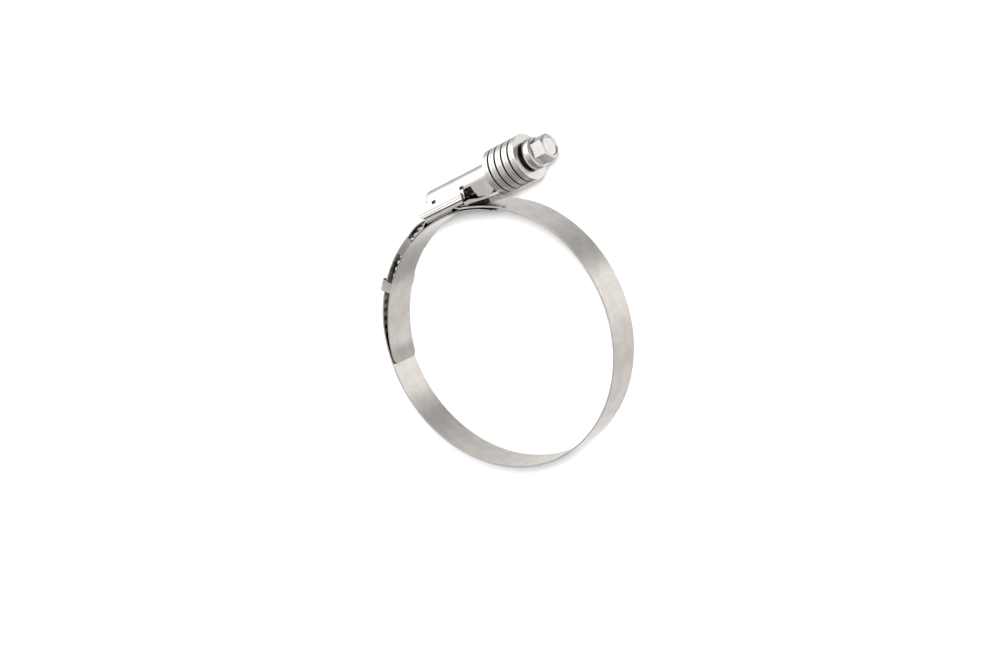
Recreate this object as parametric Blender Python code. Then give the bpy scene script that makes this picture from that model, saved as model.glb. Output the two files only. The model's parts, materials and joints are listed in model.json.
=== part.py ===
"""Constant-tension band clamp: a slotted steel band, drawn tight by a worm screw with spring washers.

The clamp lies on its side. +Z is the axis of the ring, +Y points from the centre of the ring to the
screw housing, and +X runs along the screw towards its hexagon head. Places along X, such as
HOUSING_REAR, are measured from the ring's centre. Places along a strip are measured from the point
of the ring right under the screw, and angles round the ring from the same point.
"""

import math

import bmesh
import bpy
from mathutils import Matrix, Vector

MM = 0.001

# Gaps, and how far joined shapes and cutters reach past a surface
LAYER_GAP = 0.15 * MM
RUNNING_GAP = 0.3 * MM
SIDE_GAP = 0.2 * MM
JOIN = 0.2 * MM
MARGIN = 1.0 * MM

# Band
RING_DIAMETER = 113.0 * MM
BAND_WIDTH = 16.0 * MM
BAND_THICKNESS = 0.64 * MM
FLAT_RISE = 0.05 * MM
FLAT_ANGLES = (5.0, 20.0)
BULGE = 0.5 * MM
BULGE_ANGLES = (60.0, 84.5)
TUCK_ANGLES = (16.0, 52.0)
JOGGLE_LENGTH = 3.95 * MM
JOGGLE_CLEARANCE = 0.7 * MM
JOGGLE_LAG = 0.4 * MM
TONGUE_LENGTH = 18.75 * MM
TONGUE_CORNER = 2.2 * MM
TAIL_REACH = 20.2 * MM
TAIL_CORNER = 4.5 * MM
TAIL_SHOULDER = 13.0 * MM
TAIL_NARROWING = 2.5 * MM
SLOT_PITCH = 3.175 * MM
SLOT_WIDTH = 1.7 * MM
SLOT_LENGTH = 10.4 * MM
SLOT_COUNT = 28
FIRST_SLOT = 8.275 * MM

# Liner strip inside the ring
LINER_THICKNESS = 0.5 * MM
LINER_RIGHT_REACH = 29.1 * MM
LINER_LEFT_REACH = 81.4 * MM
LINER_SPREAD = (47.3 * MM, 90.7 * MM)
LINER_CORNER = 2.7 * MM
GUIDE_START = 19.3 * MM
GUIDE_LENGTH = 9.3 * MM
GUIDE_HEIGHT = 2.2 * MM
KEEPER_START = 43.3 * MM
KEEPER_LENGTH = 4.9 * MM
KEEPER_FOLD = 3.6 * MM
KEEPER_BEND = 1.6 * MM
TAB_ROOT = 1.0 * MM

# Worm screw
WORM_CREST_RADIUS = 3.62 * MM
WORM_ROOT_RADIUS = 2.75 * MM
WORM_CLEARANCE = 0.33 * MM
WORM_LENGTH = 17.9 * MM
THREAD_ROOT = 0.95 * MM
THREAD_CREST = 0.45 * MM
NECK_LENGTH = 3.8 * MM
NECK_TAPER = 0.8 * MM
SHANK_RADIUS = 4.8 * MM
PILOT_RADIUS = 2.2 * MM
PILOT_REACH = 0.8 * MM
PILOT_CHAMFER = 0.4 * MM
COLLAR_RADIUS = 6.7 * MM
COLLAR_LENGTH = 3.7 * MM
COLLAR_CHAMFER = 0.3 * MM
COLLAR_ROUNDING = 0.7 * MM
HEAD_ACROSS_FLATS = 10.1 * MM
HEAD_LENGTH = 6.3 * MM
HEAD_TURN = 50.5
HEAD_CHAMFER_INSET = 0.15 * MM
HEAD_CHAMFER_SLOPE = 35.0
DISH_RADIUS = 4.2 * MM
DISH_DEPTH = 0.55 * MM

# Spring washers
WASHER_COUNT = 10
WASHER_RADIUS = 10.05 * MM
WASHER_THICKNESS = 1.25 * MM
WASHER_CONE = 0.5 * MM
WASHER_GAP = 0.05 * MM
WASHER_EDGE = 0.22 * MM
FREE_PLAY = 1.2 * MM
TRAVEL = 3.2 * MM

# Housing pressed round the screw
HOUSING_REAR = -5.8 * MM
HOUSING_FRONT = 30.7 * MM
HOUSING_WALL = 1.0 * MM
HOUSING_ROUNDING = 1.1 * MM
NOSE_CHAMFER = 0.2 * MM
SKIRT_INSET = 0.4 * MM
SKIRT_FRONT = 15.8 * MM
SKIRT_TOP = 1.5 * MM
WINDOW_FRONT = 19.8 * MM
WINDOW_TOP = 0.1 * MM
NOTCH_WIDTH = 1.5 * MM
NOTCH_HEIGHT = 1.2 * MM
NOTCH_RISE = 0.3 * MM
NOTCH_PLACES = (-0.7 * MM, 15.2 * MM)
LIP_THICKNESS = 0.9 * MM
LIP_FRONT = 26.0 * MM
LIP_SLOPE = 8.0
LIP_WALL_HEIGHT = 1.25 * MM
LIP_WALL_FLAT = 3.2 * MM
LIP_WALL_LENGTH = 8.4 * MM
CHEEK_THICKNESS = 0.8 * MM
CHEEK_INSET = 0.05 * MM
CHEEK_REAR = 20.0 * MM
CHEEK_FOOT = 21.6 * MM
CHEEK_TOE = 25.8 * MM
CHEEK_FRONT = 28.3 * MM
CHEEK_REAR_DROP = 2.5 * MM
CHEEK_FRONT_DROP = 4.5 * MM

# Saddle folded up over the housing
SADDLE_REAR = -6.6 * MM
SADDLE_FRONT = 14.9 * MM
SADDLE_PLATE_FRONT = 7.4 * MM
SADDLE_THICKNESS = 0.8 * MM
SADDLE_BEND = 1.2 * MM
SADDLE_WALL_RISE = 1.1 * MM
SADDLE_STEP_CHAMFER = 1.0 * MM
EAR_REACH = 3.7 * MM
EAR_CORNER = 1.3 * MM

# Facets
RING_FACET = 2.0 * MM
TURNED_STEPS = 40
WORM_STEPS = 20

# Layers under the screw, from the top down. Up is +Y here, away from the ring's centre
RING_RADIUS = RING_DIAMETER / 2
HALF_BAND = BAND_WIDTH / 2
SLOTTED_TOP = RING_RADIUS + FLAT_RISE
FIXED_TOP = SLOTTED_TOP - BAND_THICKNESS - LAYER_GAP
SADDLE_TOP = FIXED_TOP - BAND_THICKNESS - LAYER_GAP
SADDLE_BOTTOM = SADDLE_TOP - SADDLE_THICKNESS
SCREW_HEIGHT = SLOTTED_TOP + WORM_CLEARANCE + WORM_CREST_RADIUS

# Barrel, walls, and the lip under the barrel's nose
SHANK_BORE = SHANK_RADIUS + RUNNING_GAP
BARREL_RADIUS = SHANK_BORE + HOUSING_WALL
WALL_INSIDE = HALF_BAND + SIDE_GAP
WALL_OUTSIDE = WALL_INSIDE + SADDLE_THICKNESS
LIP_REAR = SADDLE_FRONT + RUNNING_GAP
LIP_DROP = math.tan(math.radians(LIP_SLOPE))
LIP_REAR_TOP = SCREW_HEIGHT - BARREL_RADIUS + JOIN + (WINDOW_FRONT - LIP_REAR) * LIP_DROP
LIP_REAR_BOTTOM = LIP_REAR_TOP - LIP_THICKNESS

# The slotted end runs under the lip, the fixed end under both, and the liner under them all
TAIL_RADIUS = math.hypot(LIP_REAR, LIP_REAR_BOTTOM - RUNNING_GAP)
TUCKED_RADIUS = TAIL_RADIUS - BAND_THICKNESS - LAYER_GAP
LINER_OUTER = min(SADDLE_BOTTOM, TUCKED_RADIUS - BAND_THICKNESS) - LAYER_GAP
TONGUE_RADIUS = LINER_OUTER + LAYER_GAP + BAND_THICKNESS

# Order along the screw
END_WALL_INSIDE = HOUSING_REAR + HOUSING_WALL
WORM_REAR = END_WALL_INSIDE + TRAVEL + RUNNING_GAP
SHANK_REAR = WORM_REAR + WORM_LENGTH + NECK_LENGTH
STACK_REAR = HOUSING_FRONT + LAYER_GAP
WASHER_PITCH = WASHER_THICKNESS + WASHER_CONE + WASHER_GAP
STACK_FRONT = STACK_REAR + WASHER_COUNT * WASHER_PITCH - WASHER_GAP
COLLAR_REAR = STACK_FRONT + FREE_PLAY
HEAD_REAR = COLLAR_REAR + COLLAR_LENGTH
HEAD_FRONT = HEAD_REAR + HEAD_LENGTH


def clear_scene():
    for obj in list(bpy.data.objects):
        bpy.data.objects.remove(obj)


def steel(name, colour, roughness):
    material = bpy.data.materials.new(name)
    material.use_nodes = True
    shader = material.node_tree.nodes["Principled BSDF"]
    shader.inputs["Base Color"].default_value = (*colour, 1.0)
    shader.inputs["Metallic"].default_value = 1.0
    shader.inputs["Roughness"].default_value = roughness
    material.diffuse_color = (*colour, 1.0)
    return material


def ease(value, start, end):
    """0 before start, 1 after end and a smooth step between them."""
    share = min(max((value - start) / (end - start), 0.0), 1.0)
    return share * share * (3 - 2 * share)


def mix(first, second, share):
    return first + (second - first) * share


# Temporary objects, Boolean work and finished objects


def object_from(name, bm):
    bmesh.ops.recalc_face_normals(bm, faces=bm.faces)
    mesh = bpy.data.meshes.new(name)
    bm.to_mesh(mesh)
    bm.free()
    obj = bpy.data.objects.new(name, mesh)
    bpy.context.scene.collection.objects.link(obj)
    return obj


def combine(base, steps):
    """The bmesh of base after each (operation, bmesh) of steps."""
    target = object_from("target", base)
    tools = []
    for operation, tool in steps:
        tools.append(object_from("tool", tool))
        modifier = target.modifiers.new(operation, "BOOLEAN")
        modifier.operation = operation
        modifier.object = tools[-1]
    graph = bpy.context.evaluated_depsgraph_get()
    mesh = bpy.data.meshes.new_from_object(target.evaluated_get(graph))
    result = bmesh.new()
    result.from_mesh(mesh)
    for obj in [target, *tools]:
        bpy.data.objects.remove(obj)
    bmesh.ops.remove_doubles(result, verts=result.verts, dist=0.002 * MM)
    bmesh.ops.dissolve_degenerate(result, edges=result.edges, dist=0.002 * MM)
    return result


def finish(name, bm, material, frame, smooth_angle=35.0):
    obj = object_from(name, bm)
    obj.data.materials.append(material)
    obj.data.shade_smooth()
    obj.data.set_sharp_from_angle(angle=math.radians(smooth_angle))
    obj.parent = frame
    return obj


# Basic shapes


def arc(centre, radius, start, end, steps):
    """Points round an arc, angles in degrees from the first coordinate to the second."""
    points = []
    for i in range(steps + 1):
        angle = math.radians(mix(start, end, i / steps))
        points.append((centre[0] + radius * math.cos(angle), centre[1] + radius * math.sin(angle)))
    return points


def prism(outline, low, high, axis="Z"):
    """A flat outline drawn out between two places. Along Z it lies in XY, and along X it lies in YZ."""
    bm = bmesh.new()
    ends = []
    for place in (low, high):
        if axis == "Z":
            ends.append([bm.verts.new((a, b, place)) for a, b in outline])
        else:
            ends.append([bm.verts.new((place, a, b)) for a, b in outline])
        bm.faces.new(ends[-1])
    first, last = ends
    for i in range(len(first)):
        bm.faces.new((first[i - 1], first[i], last[i], last[i - 1]))
    bmesh.ops.recalc_face_normals(bm, faces=bm.faces)
    return bm


def block(x, y, z):
    """A box given by its (low, high) along each axis."""
    return prism([(x[0], y[0]), (x[1], y[0]), (x[1], y[1]), (x[0], y[1])], z[0], z[1])


def turned(profile):
    """A closed (place along the screw, radius) outline turned round the screw's axis."""
    bm = bmesh.new()
    corners = [bm.verts.new((x, SCREW_HEIGHT + radius, 0)) for x, radius in profile]
    solid = profile[0][1] == 0 and profile[-1][1] == 0
    pairs = list(zip(corners, corners[1:] + corners[:1]))
    for first, second in pairs[:-1] if solid else pairs:
        bm.edges.new((first, second))
    bmesh.ops.spin(
        bm,
        geom=bm.verts[:] + bm.edges[:],
        cent=(0, SCREW_HEIGHT, 0),
        axis=(1, 0, 0),
        angle=math.tau,
        steps=TURNED_STEPS,
        use_merge=True,
    )
    bmesh.ops.remove_doubles(bm, verts=bm.verts, dist=0.001 * MM)
    bmesh.ops.recalc_face_normals(bm, faces=bm.faces)
    return bm


# Strips: made flat, cut across and then rolled into the ring


def along(angle):
    """Length along a strip for an angle round the ring, in degrees."""
    return math.radians(angle) * RING_RADIUS


def flat_radius(height, angle):
    """Radius at which a straight line at this height crosses an angle from the housing."""
    return height / math.cos(math.radians(min(abs(angle), 2 * FLAT_ANGLES[1])))


def joggle(reach, edge):
    """Share of the step down to the next layer, for a place past an edge of the saddle's plate."""
    start = edge + JOGGLE_CLEARANCE
    return ease(reach, start, start + JOGGLE_LENGTH)


def band_radius(angle):
    """Outer radius of the band, at degrees clockwise from the housing, seen from +Z.

    The strip starts as a tongue over the liner, lies flat under the screw, goes once round the ring
    and ends flat again, one layer further out. Both layers step down past the front of the saddle.
    """
    if angle < 180:
        flat = flat_radius(FIXED_TOP, angle)
        if angle < 0:
            return mix(flat, TONGUE_RADIUS, joggle(-along(angle), -SADDLE_REAR))
        tucked = mix(flat, TUCKED_RADIUS, joggle(along(angle), SADDLE_PLATE_FRONT))
        return mix(tucked, RING_RADIUS, ease(angle, *TUCK_ANGLES))
    before = 360 - angle
    flat = flat_radius(SLOTTED_TOP, before)
    if before < 0:
        return mix(flat, TAIL_RADIUS, joggle(-along(before), SADDLE_PLATE_FRONT + JOGGLE_LAG))
    over_liner = mix(RING_RADIUS + BULGE, RING_RADIUS, ease(before, *BULGE_ANGLES))
    return mix(flat, over_liner, ease(before, *FLAT_ANGLES))


def liner_radius(angle):
    """Outer radius of the liner, which spreads out to the band towards its left end."""
    meets_band = RING_RADIUS - BAND_THICKNESS - LAYER_GAP
    return mix(LINER_OUTER, meets_band, ease(-along(angle), *LINER_SPREAD))


def strip_outline(start, end, start_corner, end_corner, shoulder=0.0, narrowing=0.0):
    """Flat strip with round corners, as (length, width) points. It may narrow from a shoulder to its end."""
    narrow = HALF_BAND - narrowing
    points = [(end - shoulder, HALF_BAND)] if narrowing else []
    points += arc((end - end_corner, narrow - end_corner), end_corner, 90, 0, 5)
    points += arc((end - end_corner, end_corner - narrow), end_corner, 0, -90, 5)
    points += [(end - shoulder, -HALF_BAND)] if narrowing else []
    points += arc((start + start_corner, start_corner - HALF_BAND), start_corner, -90, -180, 5)
    points += arc((start + start_corner, HALF_BAND - start_corner), start_corner, 180, 90, 5)
    return points


def flat_plate(outline, low, high):
    """A plate whose outline lies in XZ and whose thickness runs along Y."""
    bm = prism(outline, low, high)
    swap = Matrix(((1, 0, 0, 0), (0, 0, 1, 0), (0, 1, 0, 0), (0, 0, 0, 1)))
    bmesh.ops.transform(bm, matrix=swap, verts=bm.verts)
    bmesh.ops.recalc_face_normals(bm, faces=bm.faces)
    return bm


def even_places(start, end):
    """Places between two ends of a strip, a facet of the ring apart and without the ends themselves."""
    steps = math.ceil((end - start) / RING_FACET)
    return [mix(start, end, i / steps) for i in range(1, steps)]


def roll(bm, places, radius_at):
    """Cuts a flat strip across at the given places and bends it round the ring."""
    for place in places:
        geometry = bm.verts[:] + bm.edges[:] + bm.faces[:]
        bmesh.ops.bisect_plane(bm, geom=geometry, dist=1e-7, plane_co=(place, 0, 0), plane_no=(1, 0, 0))
    bmesh.ops.triangulate(bm, faces=bm.faces)
    for vert in bm.verts:
        angle = vert.co.x / RING_RADIUS
        radius = radius_at(math.degrees(angle)) + vert.co.y
        vert.co = Vector((radius * math.sin(angle), radius * math.cos(angle), vert.co.z))
    bmesh.ops.recalc_face_normals(bm, faces=bm.faces)
    return bm


def slot_cutter(place):
    """One slot across the band, turned a little to the lead of the worm."""
    half_width = SLOT_WIDTH / 2
    reach = SLOT_LENGTH / 2 - half_width
    outline = arc((0, reach), half_width, 0, 180, 4) + arc((0, -reach), half_width, 180, 360, 4)
    bm = flat_plate(outline, -BAND_THICKNESS - MARGIN, MARGIN)
    pitch_radius = (WORM_CREST_RADIUS + WORM_ROOT_RADIUS) / 2
    turn = math.atan(SLOT_PITCH / (math.tau * pitch_radius)) / 2
    bmesh.ops.rotate(bm, verts=bm.verts, cent=(0, 0, 0), matrix=Matrix.Rotation(turn, 3, "Y"))
    bmesh.ops.translate(bm, verts=bm.verts, vec=(place, 0, 0))
    return bm


def band():
    """One strip from the tongue under the housing, round the ring, to the slotted tail."""
    start = -TONGUE_LENGTH
    end = along(360) + TAIL_REACH
    outline = strip_outline(start, end, TONGUE_CORNER, TAIL_CORNER, TAIL_SHOULDER, TAIL_NARROWING)
    plate = flat_plate(outline, -BAND_THICKNESS, 0)
    slots = [end - FIRST_SLOT - i * SLOT_PITCH for i in range(SLOT_COUNT)]
    plate = combine(plate, [("DIFFERENCE", slot_cutter(place)) for place in slots])
    last = slots[-1] - SLOT_PITCH / 2
    half_pitches = [last + i * SLOT_PITCH / 2 for i in range(2 * SLOT_COUNT + 3)]
    return roll(plate, even_places(start + TONGUE_CORNER, last) + half_pitches, band_radius)


def tab(section, side, start, length):
    """A (width, height) section along one edge of a flat strip, at a place left of the housing."""
    outline = [(height, side * width) for width, height in section]
    return prism(outline, -start - length, -start, axis="X")


def guide_section():
    """Low wall beside the band, with its root inside the liner's edge."""
    root = HALF_BAND - TAB_ROOT
    outside = WALL_INSIDE + LINER_THICKNESS
    section = [(root, -LINER_THICKNESS), (outside, -LINER_THICKNESS), (outside, GUIDE_HEIGHT)]
    return section + [(WALL_INSIDE, GUIDE_HEIGHT), (WALL_INSIDE, 0), (root, 0)]


def keeper_section():
    """Ear that goes up past the band's edge and is folded back over its outside."""
    middle = -math.degrees((KEEPER_START + KEEPER_LENGTH / 2) / RING_RADIUS)
    over_band = band_radius(360 + middle) - liner_radius(middle) + RUNNING_GAP
    root = HALF_BAND - TAB_ROOT
    outside = WALL_INSIDE + LINER_THICKNESS
    centre = (outside - KEEPER_BEND, over_band)
    tip = WALL_INSIDE - KEEPER_FOLD
    section = [(root, -LINER_THICKNESS), (outside, -LINER_THICKNESS)]
    section += arc(centre, KEEPER_BEND, 0, 90, 4)
    section += [(tip, over_band + LINER_THICKNESS), (tip, over_band)]
    section += arc(centre, KEEPER_BEND - LINER_THICKNESS, 90, 0, 4)
    return section + [(WALL_INSIDE, 0), (root, 0)]


def liner():
    """Plain strip with two low guide walls and two keeper ears folded over the slotted band."""
    outline = strip_outline(-LINER_LEFT_REACH, LINER_RIGHT_REACH, LINER_CORNER, LINER_CORNER)
    plate = flat_plate(outline, -LINER_THICKNESS, 0)
    tabs = [tab(guide_section(), side, GUIDE_START, GUIDE_LENGTH) for side in (-1, 1)]
    tabs += [tab(keeper_section(), side, KEEPER_START, KEEPER_LENGTH) for side in (-1, 1)]
    body = combine(plate, [("UNION", piece) for piece in tabs])
    ends = [LINER_CORNER - LINER_LEFT_REACH, -KEEPER_START - KEEPER_LENGTH, -KEEPER_START]
    ends += [-GUIDE_START - GUIDE_LENGTH, -GUIDE_START, LINER_RIGHT_REACH - LINER_CORNER]
    places = [place for stretch in zip(ends, ends[1:]) for place in even_places(*stretch)]
    return roll(body, places, liner_radius)


# Screw and washers


def worm_thread():
    """Trapezoid ridge wound along the worm."""
    inside = WORM_ROOT_RADIUS - JOIN
    start = WORM_REAR + THREAD_ROOT
    section = [(-THREAD_ROOT, inside), (-THREAD_CREST, WORM_CREST_RADIUS)]
    section += [(THREAD_CREST, WORM_CREST_RADIUS), (THREAD_ROOT, inside)]
    turns = (WORM_LENGTH - 3 * THREAD_ROOT) / SLOT_PITCH
    steps = round(turns * WORM_STEPS)
    bm = bmesh.new()
    face = bm.faces.new([bm.verts.new((start + x, SCREW_HEIGHT + radius, 0)) for x, radius in section])
    bmesh.ops.spin(
        bm,
        geom=face.verts[:] + face.edges[:] + [face],
        cent=(0, SCREW_HEIGHT, 0),
        axis=(1, 0, 0),
        dvec=(SLOT_PITCH / WORM_STEPS, 0, 0),
        angle=math.tau * steps / WORM_STEPS,
        steps=steps,
    )
    bmesh.ops.recalc_face_normals(bm, faces=bm.faces)
    return bm


def screw_core():
    """Pilot tip, worm core, neck, shank and collar, all turned in one."""
    tip = HOUSING_REAR - PILOT_REACH
    corner = COLLAR_CHAMFER
    edge = COLLAR_ROUNDING
    profile = [(tip, 0), (tip, PILOT_RADIUS - PILOT_CHAMFER), (tip + PILOT_CHAMFER, PILOT_RADIUS)]
    profile += [(WORM_REAR, PILOT_RADIUS), (WORM_REAR, WORM_ROOT_RADIUS)]
    profile += [(SHANK_REAR - NECK_TAPER, WORM_ROOT_RADIUS), (SHANK_REAR, SHANK_RADIUS)]
    profile += [(COLLAR_REAR, SHANK_RADIUS), (COLLAR_REAR, COLLAR_RADIUS - corner)]
    profile += [(COLLAR_REAR + corner, COLLAR_RADIUS)]
    profile += arc((HEAD_REAR - edge, COLLAR_RADIUS - edge), edge, 90, 0, 3)
    return turned(profile + [(HEAD_REAR, 0)])


def hexagon_head():
    """Hexagon with its front corners chamfered to a circle."""
    corner_radius = HEAD_ACROSS_FLATS / 2 / math.cos(math.radians(30))
    corners = [math.radians(HEAD_TURN + 60 * i) for i in range(6)]
    outline = [(SCREW_HEIGHT + corner_radius * math.cos(a), corner_radius * math.sin(a)) for a in corners]
    rear = HEAD_REAR - COLLAR_LENGTH / 2
    wide = corner_radius + MARGIN
    face_radius = HEAD_ACROSS_FLATS / 2 - HEAD_CHAMFER_INSET
    slope = (wide - face_radius) * math.tan(math.radians(HEAD_CHAMFER_SLOPE))
    limit = [(rear - MARGIN, 0), (rear - MARGIN, wide), (HEAD_FRONT - slope, wide)]
    limit += [(HEAD_FRONT, face_radius), (HEAD_FRONT, 0)]
    return combine(prism(outline, rear, HEAD_FRONT + MARGIN, axis="X"), [("INTERSECT", turned(limit))])


def screw():
    """The whole screw, with a shallow dish in the end of its head."""
    floor = DISH_RADIUS - DISH_DEPTH
    dish = [(HEAD_FRONT - DISH_DEPTH, 0), (HEAD_FRONT - DISH_DEPTH, floor)]
    dish += [(HEAD_FRONT + DISH_DEPTH, DISH_RADIUS + DISH_DEPTH), (HEAD_FRONT + DISH_DEPTH, 0)]
    steps = [("UNION", worm_thread()), ("UNION", hexagon_head()), ("DIFFERENCE", turned(dish))]
    return combine(screw_core(), steps)


def washer(index):
    """A coned spring washer. Even and odd ones open opposite ways, so that their rims meet in pairs."""
    rear = STACK_REAR + index * WASHER_PITCH
    rim = rear + WASHER_CONE
    edge = WASHER_EDGE
    slope = WASHER_CONE / (WASHER_RADIUS - SHANK_BORE)
    profile = [
        (rear, SHANK_BORE),
        (rim - edge * slope, WASHER_RADIUS - edge),
        (rim + edge, WASHER_RADIUS),
        (rim + WASHER_THICKNESS - edge, WASHER_RADIUS),
        (rim + WASHER_THICKNESS, WASHER_RADIUS - edge),
        (rear + WASHER_THICKNESS, SHANK_BORE),
    ]
    if index % 2:
        profile = [(rear + rim + WASHER_THICKNESS - x, radius) for x, radius in reversed(profile)]
    return turned(profile)


# Housing and saddle


def skirt_line():
    """Outer face of the housing's sloping skirt: (height, half width) at its top and at its foot."""
    top = (SCREW_HEIGHT + SKIRT_TOP, math.sqrt(BARREL_RADIUS**2 - SKIRT_TOP**2))
    foot = (SLOTTED_TOP + RUNNING_GAP, WALL_INSIDE - RUNNING_GAP)
    return Vector(top), Vector(foot)


def skirt_directions():
    """Unit vectors down the skirt's outer face and straight out of it."""
    top, foot = skirt_line()
    down = (foot - top).normalized()
    return down, Vector((down.y, -down.x))


def skirt(side):
    """Sloping wall of the housing from the barrel down to the band's edge."""
    top, foot = skirt_line()
    down, outward = skirt_directions()
    start = top - down * JOIN
    inner_foot = Vector((foot.x, foot.y - HOUSING_WALL / abs(down.x)))
    corners = [start, foot, inner_foot, start - outward * HOUSING_WALL]
    outline = [(corner.x, side * corner.y) for corner in corners]
    return prism(outline, HOUSING_REAR + SKIRT_INSET, SKIRT_FRONT, axis="X")


def notch(place, side):
    """Small lanced opening above the saddle's ear."""
    bottom = SCREW_HEIGHT + NOTCH_RISE
    width = sorted((side * (SHANK_BORE - MARGIN), side * (BARREL_RADIUS + MARGIN)))
    return block((place - NOTCH_WIDTH / 2, place + NOTCH_WIDTH / 2), (bottom, bottom + NOTCH_HEIGHT), width)


def lip_line(x):
    """Points of the lip's upper and lower face at a place along the screw."""
    drop = (x - LIP_REAR) * LIP_DROP
    return (x, LIP_REAR_TOP - drop), (x, LIP_REAR_BOTTOM - drop)


def lip():
    """Sloping plate under the barrel's nose, with a low wall on each side."""
    rear_top, rear_bottom = lip_line(LIP_REAR)
    front_top, front_bottom = lip_line(LIP_FRONT)
    plate = prism([rear_top, rear_bottom, front_bottom, front_top], -WALL_OUTSIDE, WALL_OUTSIDE)
    tip_top, tip_bottom = lip_line(LIP_REAR + LIP_WALL_LENGTH)
    wall_top = LIP_REAR_BOTTOM + LIP_WALL_HEIGHT
    wall = [(LIP_REAR, wall_top), rear_bottom, tip_bottom, tip_top, (LIP_REAR + LIP_WALL_FLAT, wall_top)]
    walls = [prism(wall, *sorted((side * WALL_INSIDE, side * WALL_OUTSIDE))) for side in (-1, 1)]
    return [plate, *walls]


def cheek(side):
    """Upright wall from the side of the barrel's nose down to the lip."""
    outline = [(CHEEK_REAR, SCREW_HEIGHT + JOIN), (CHEEK_REAR, SCREW_HEIGHT - CHEEK_REAR_DROP)]
    for place in (CHEEK_FOOT, CHEEK_TOE):
        (x, top), (x, bottom) = lip_line(place)
        outline.append((x, (top + bottom) / 2))
    outline += [(CHEEK_FRONT, SCREW_HEIGHT - CHEEK_FRONT_DROP), (CHEEK_FRONT, SCREW_HEIGHT + JOIN)]
    outside = BARREL_RADIUS - CHEEK_INSET
    return prism(outline, *sorted((side * outside, side * (outside - CHEEK_THICKNESS))))


def barrel():
    """Round tube with a drilled end wall, open under the worm up to the window's front."""
    edge = HOUSING_ROUNDING
    hole = PILOT_RADIUS + RUNNING_GAP
    profile = [(HOUSING_REAR, hole)]
    profile += arc((HOUSING_REAR + edge, BARREL_RADIUS - edge), edge, 180, 90, 3)
    profile += [(HOUSING_FRONT - NOSE_CHAMFER, BARREL_RADIUS)]
    profile += [(HOUSING_FRONT, BARREL_RADIUS - NOSE_CHAMFER), (HOUSING_FRONT, SHANK_BORE)]
    profile += [(END_WALL_INSIDE, SHANK_BORE), (END_WALL_INSIDE, hole)]
    low = SCREW_HEIGHT - BARREL_RADIUS - MARGIN
    across = (-WALL_OUTSIDE, WALL_OUTSIDE)
    window = block((END_WALL_INSIDE + JOIN, WINDOW_FRONT), (low, SCREW_HEIGHT - WINDOW_TOP), across)
    under_wall = (HOUSING_REAR - MARGIN, END_WALL_INSIDE + MARGIN)
    over_band = block(under_wall, (low, SLOTTED_TOP + RUNNING_GAP), across)
    return combine(turned(profile), [("DIFFERENCE", window), ("DIFFERENCE", over_band)])


def housing():
    """Barrel on two sloping skirts, with lanced notches, and a lip under its nose between two cheeks."""
    steps = [("UNION", skirt(side)) for side in (-1, 1)]
    steps += [("UNION", piece) for piece in lip()]
    steps += [("UNION", cheek(side)) for side in (-1, 1)]
    steps += [("DIFFERENCE", notch(place, side)) for place in NOTCH_PLACES for side in (-1, 1)]
    return combine(barrel(), steps)


def saddle_section():
    """One half of the bent sheet, as (height, half width): plate, bend, wall, and ear along the skirt."""
    top, foot = skirt_line()
    down, outward = skirt_directions()
    near = foot + outward * LAYER_GAP
    inner_bend = Vector((near.x - down.x * (WALL_INSIDE - near.y) / -down.y, WALL_INSIDE))
    inner_end = inner_bend - down * EAR_REACH
    outer_end = inner_end + outward * SADDLE_THICKNESS
    corner = SADDLE_THICKNESS * math.tan(math.acos(-down.x) / 2)
    outer_bend = (inner_bend.x + corner, WALL_OUTSIDE)
    centre = (SADDLE_BOTTOM + SADDLE_BEND, WALL_OUTSIDE - SADDLE_BEND)
    section = arc(centre, SADDLE_BEND, 180, 90, 3) + [outer_bend, tuple(outer_end), tuple(inner_end)]
    return section + [tuple(inner_bend)] + arc(centre, SADDLE_BEND - SADDLE_THICKNESS, 90, 180, 2)


def saddle():
    """Channel under the band whose walls carry ears, folded over the housing's skirts."""
    half = saddle_section()
    mirrored = [(height, -width) for height, width in reversed(half)]
    sheet = prism(half + mirrored, SADDLE_REAR - MARGIN, SADDLE_FRONT + MARGIN, axis="X")
    top = max(height for height, width in half)
    wall_bottom = SADDLE_BOTTOM + SADDLE_WALL_RISE
    step = SADDLE_STEP_CHAMFER
    side_view = [(SADDLE_REAR, SADDLE_BOTTOM - MARGIN), (SADDLE_PLATE_FRONT, SADDLE_BOTTOM - MARGIN)]
    side_view += [(SADDLE_PLATE_FRONT, wall_bottom - step), (SADDLE_PLATE_FRONT + step, wall_bottom)]
    side_view += [(SADDLE_FRONT, wall_bottom)]
    side_view += arc((SADDLE_FRONT - EAR_CORNER, top - EAR_CORNER), EAR_CORNER, 0, 90, 4)
    side_view += arc((SADDLE_REAR + EAR_CORNER, top - EAR_CORNER), EAR_CORNER, 90, 180, 4)
    wide = WALL_OUTSIDE + MARGIN
    return combine(sheet, [("INTERSECT", prism(side_view, -wide, wide))])


# Assembly


def settle_on_base(frame):
    """Moves the frame so that the origin is at the middle of the bounding box's floor."""
    bpy.context.view_layer.update()
    points = []
    for obj in frame.children:
        points += [obj.matrix_world @ vert.co for vert in obj.data.vertices]
    low = [min(point[axis] for point in points) for axis in range(3)]
    high = [max(point[axis] for point in points) for axis in range(3)]
    frame.location = (-(low[0] + high[0]) / 2, -(low[1] + high[1]) / 2, -low[2])


def marker(name, place, parent):
    """An empty at a place that other pieces are set by."""
    empty = bpy.data.objects.new(name, None)
    empty.empty_display_size = 5 * MM
    empty.location = place
    empty.parent = parent
    bpy.context.scene.collection.objects.link(empty)
    return empty


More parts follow.
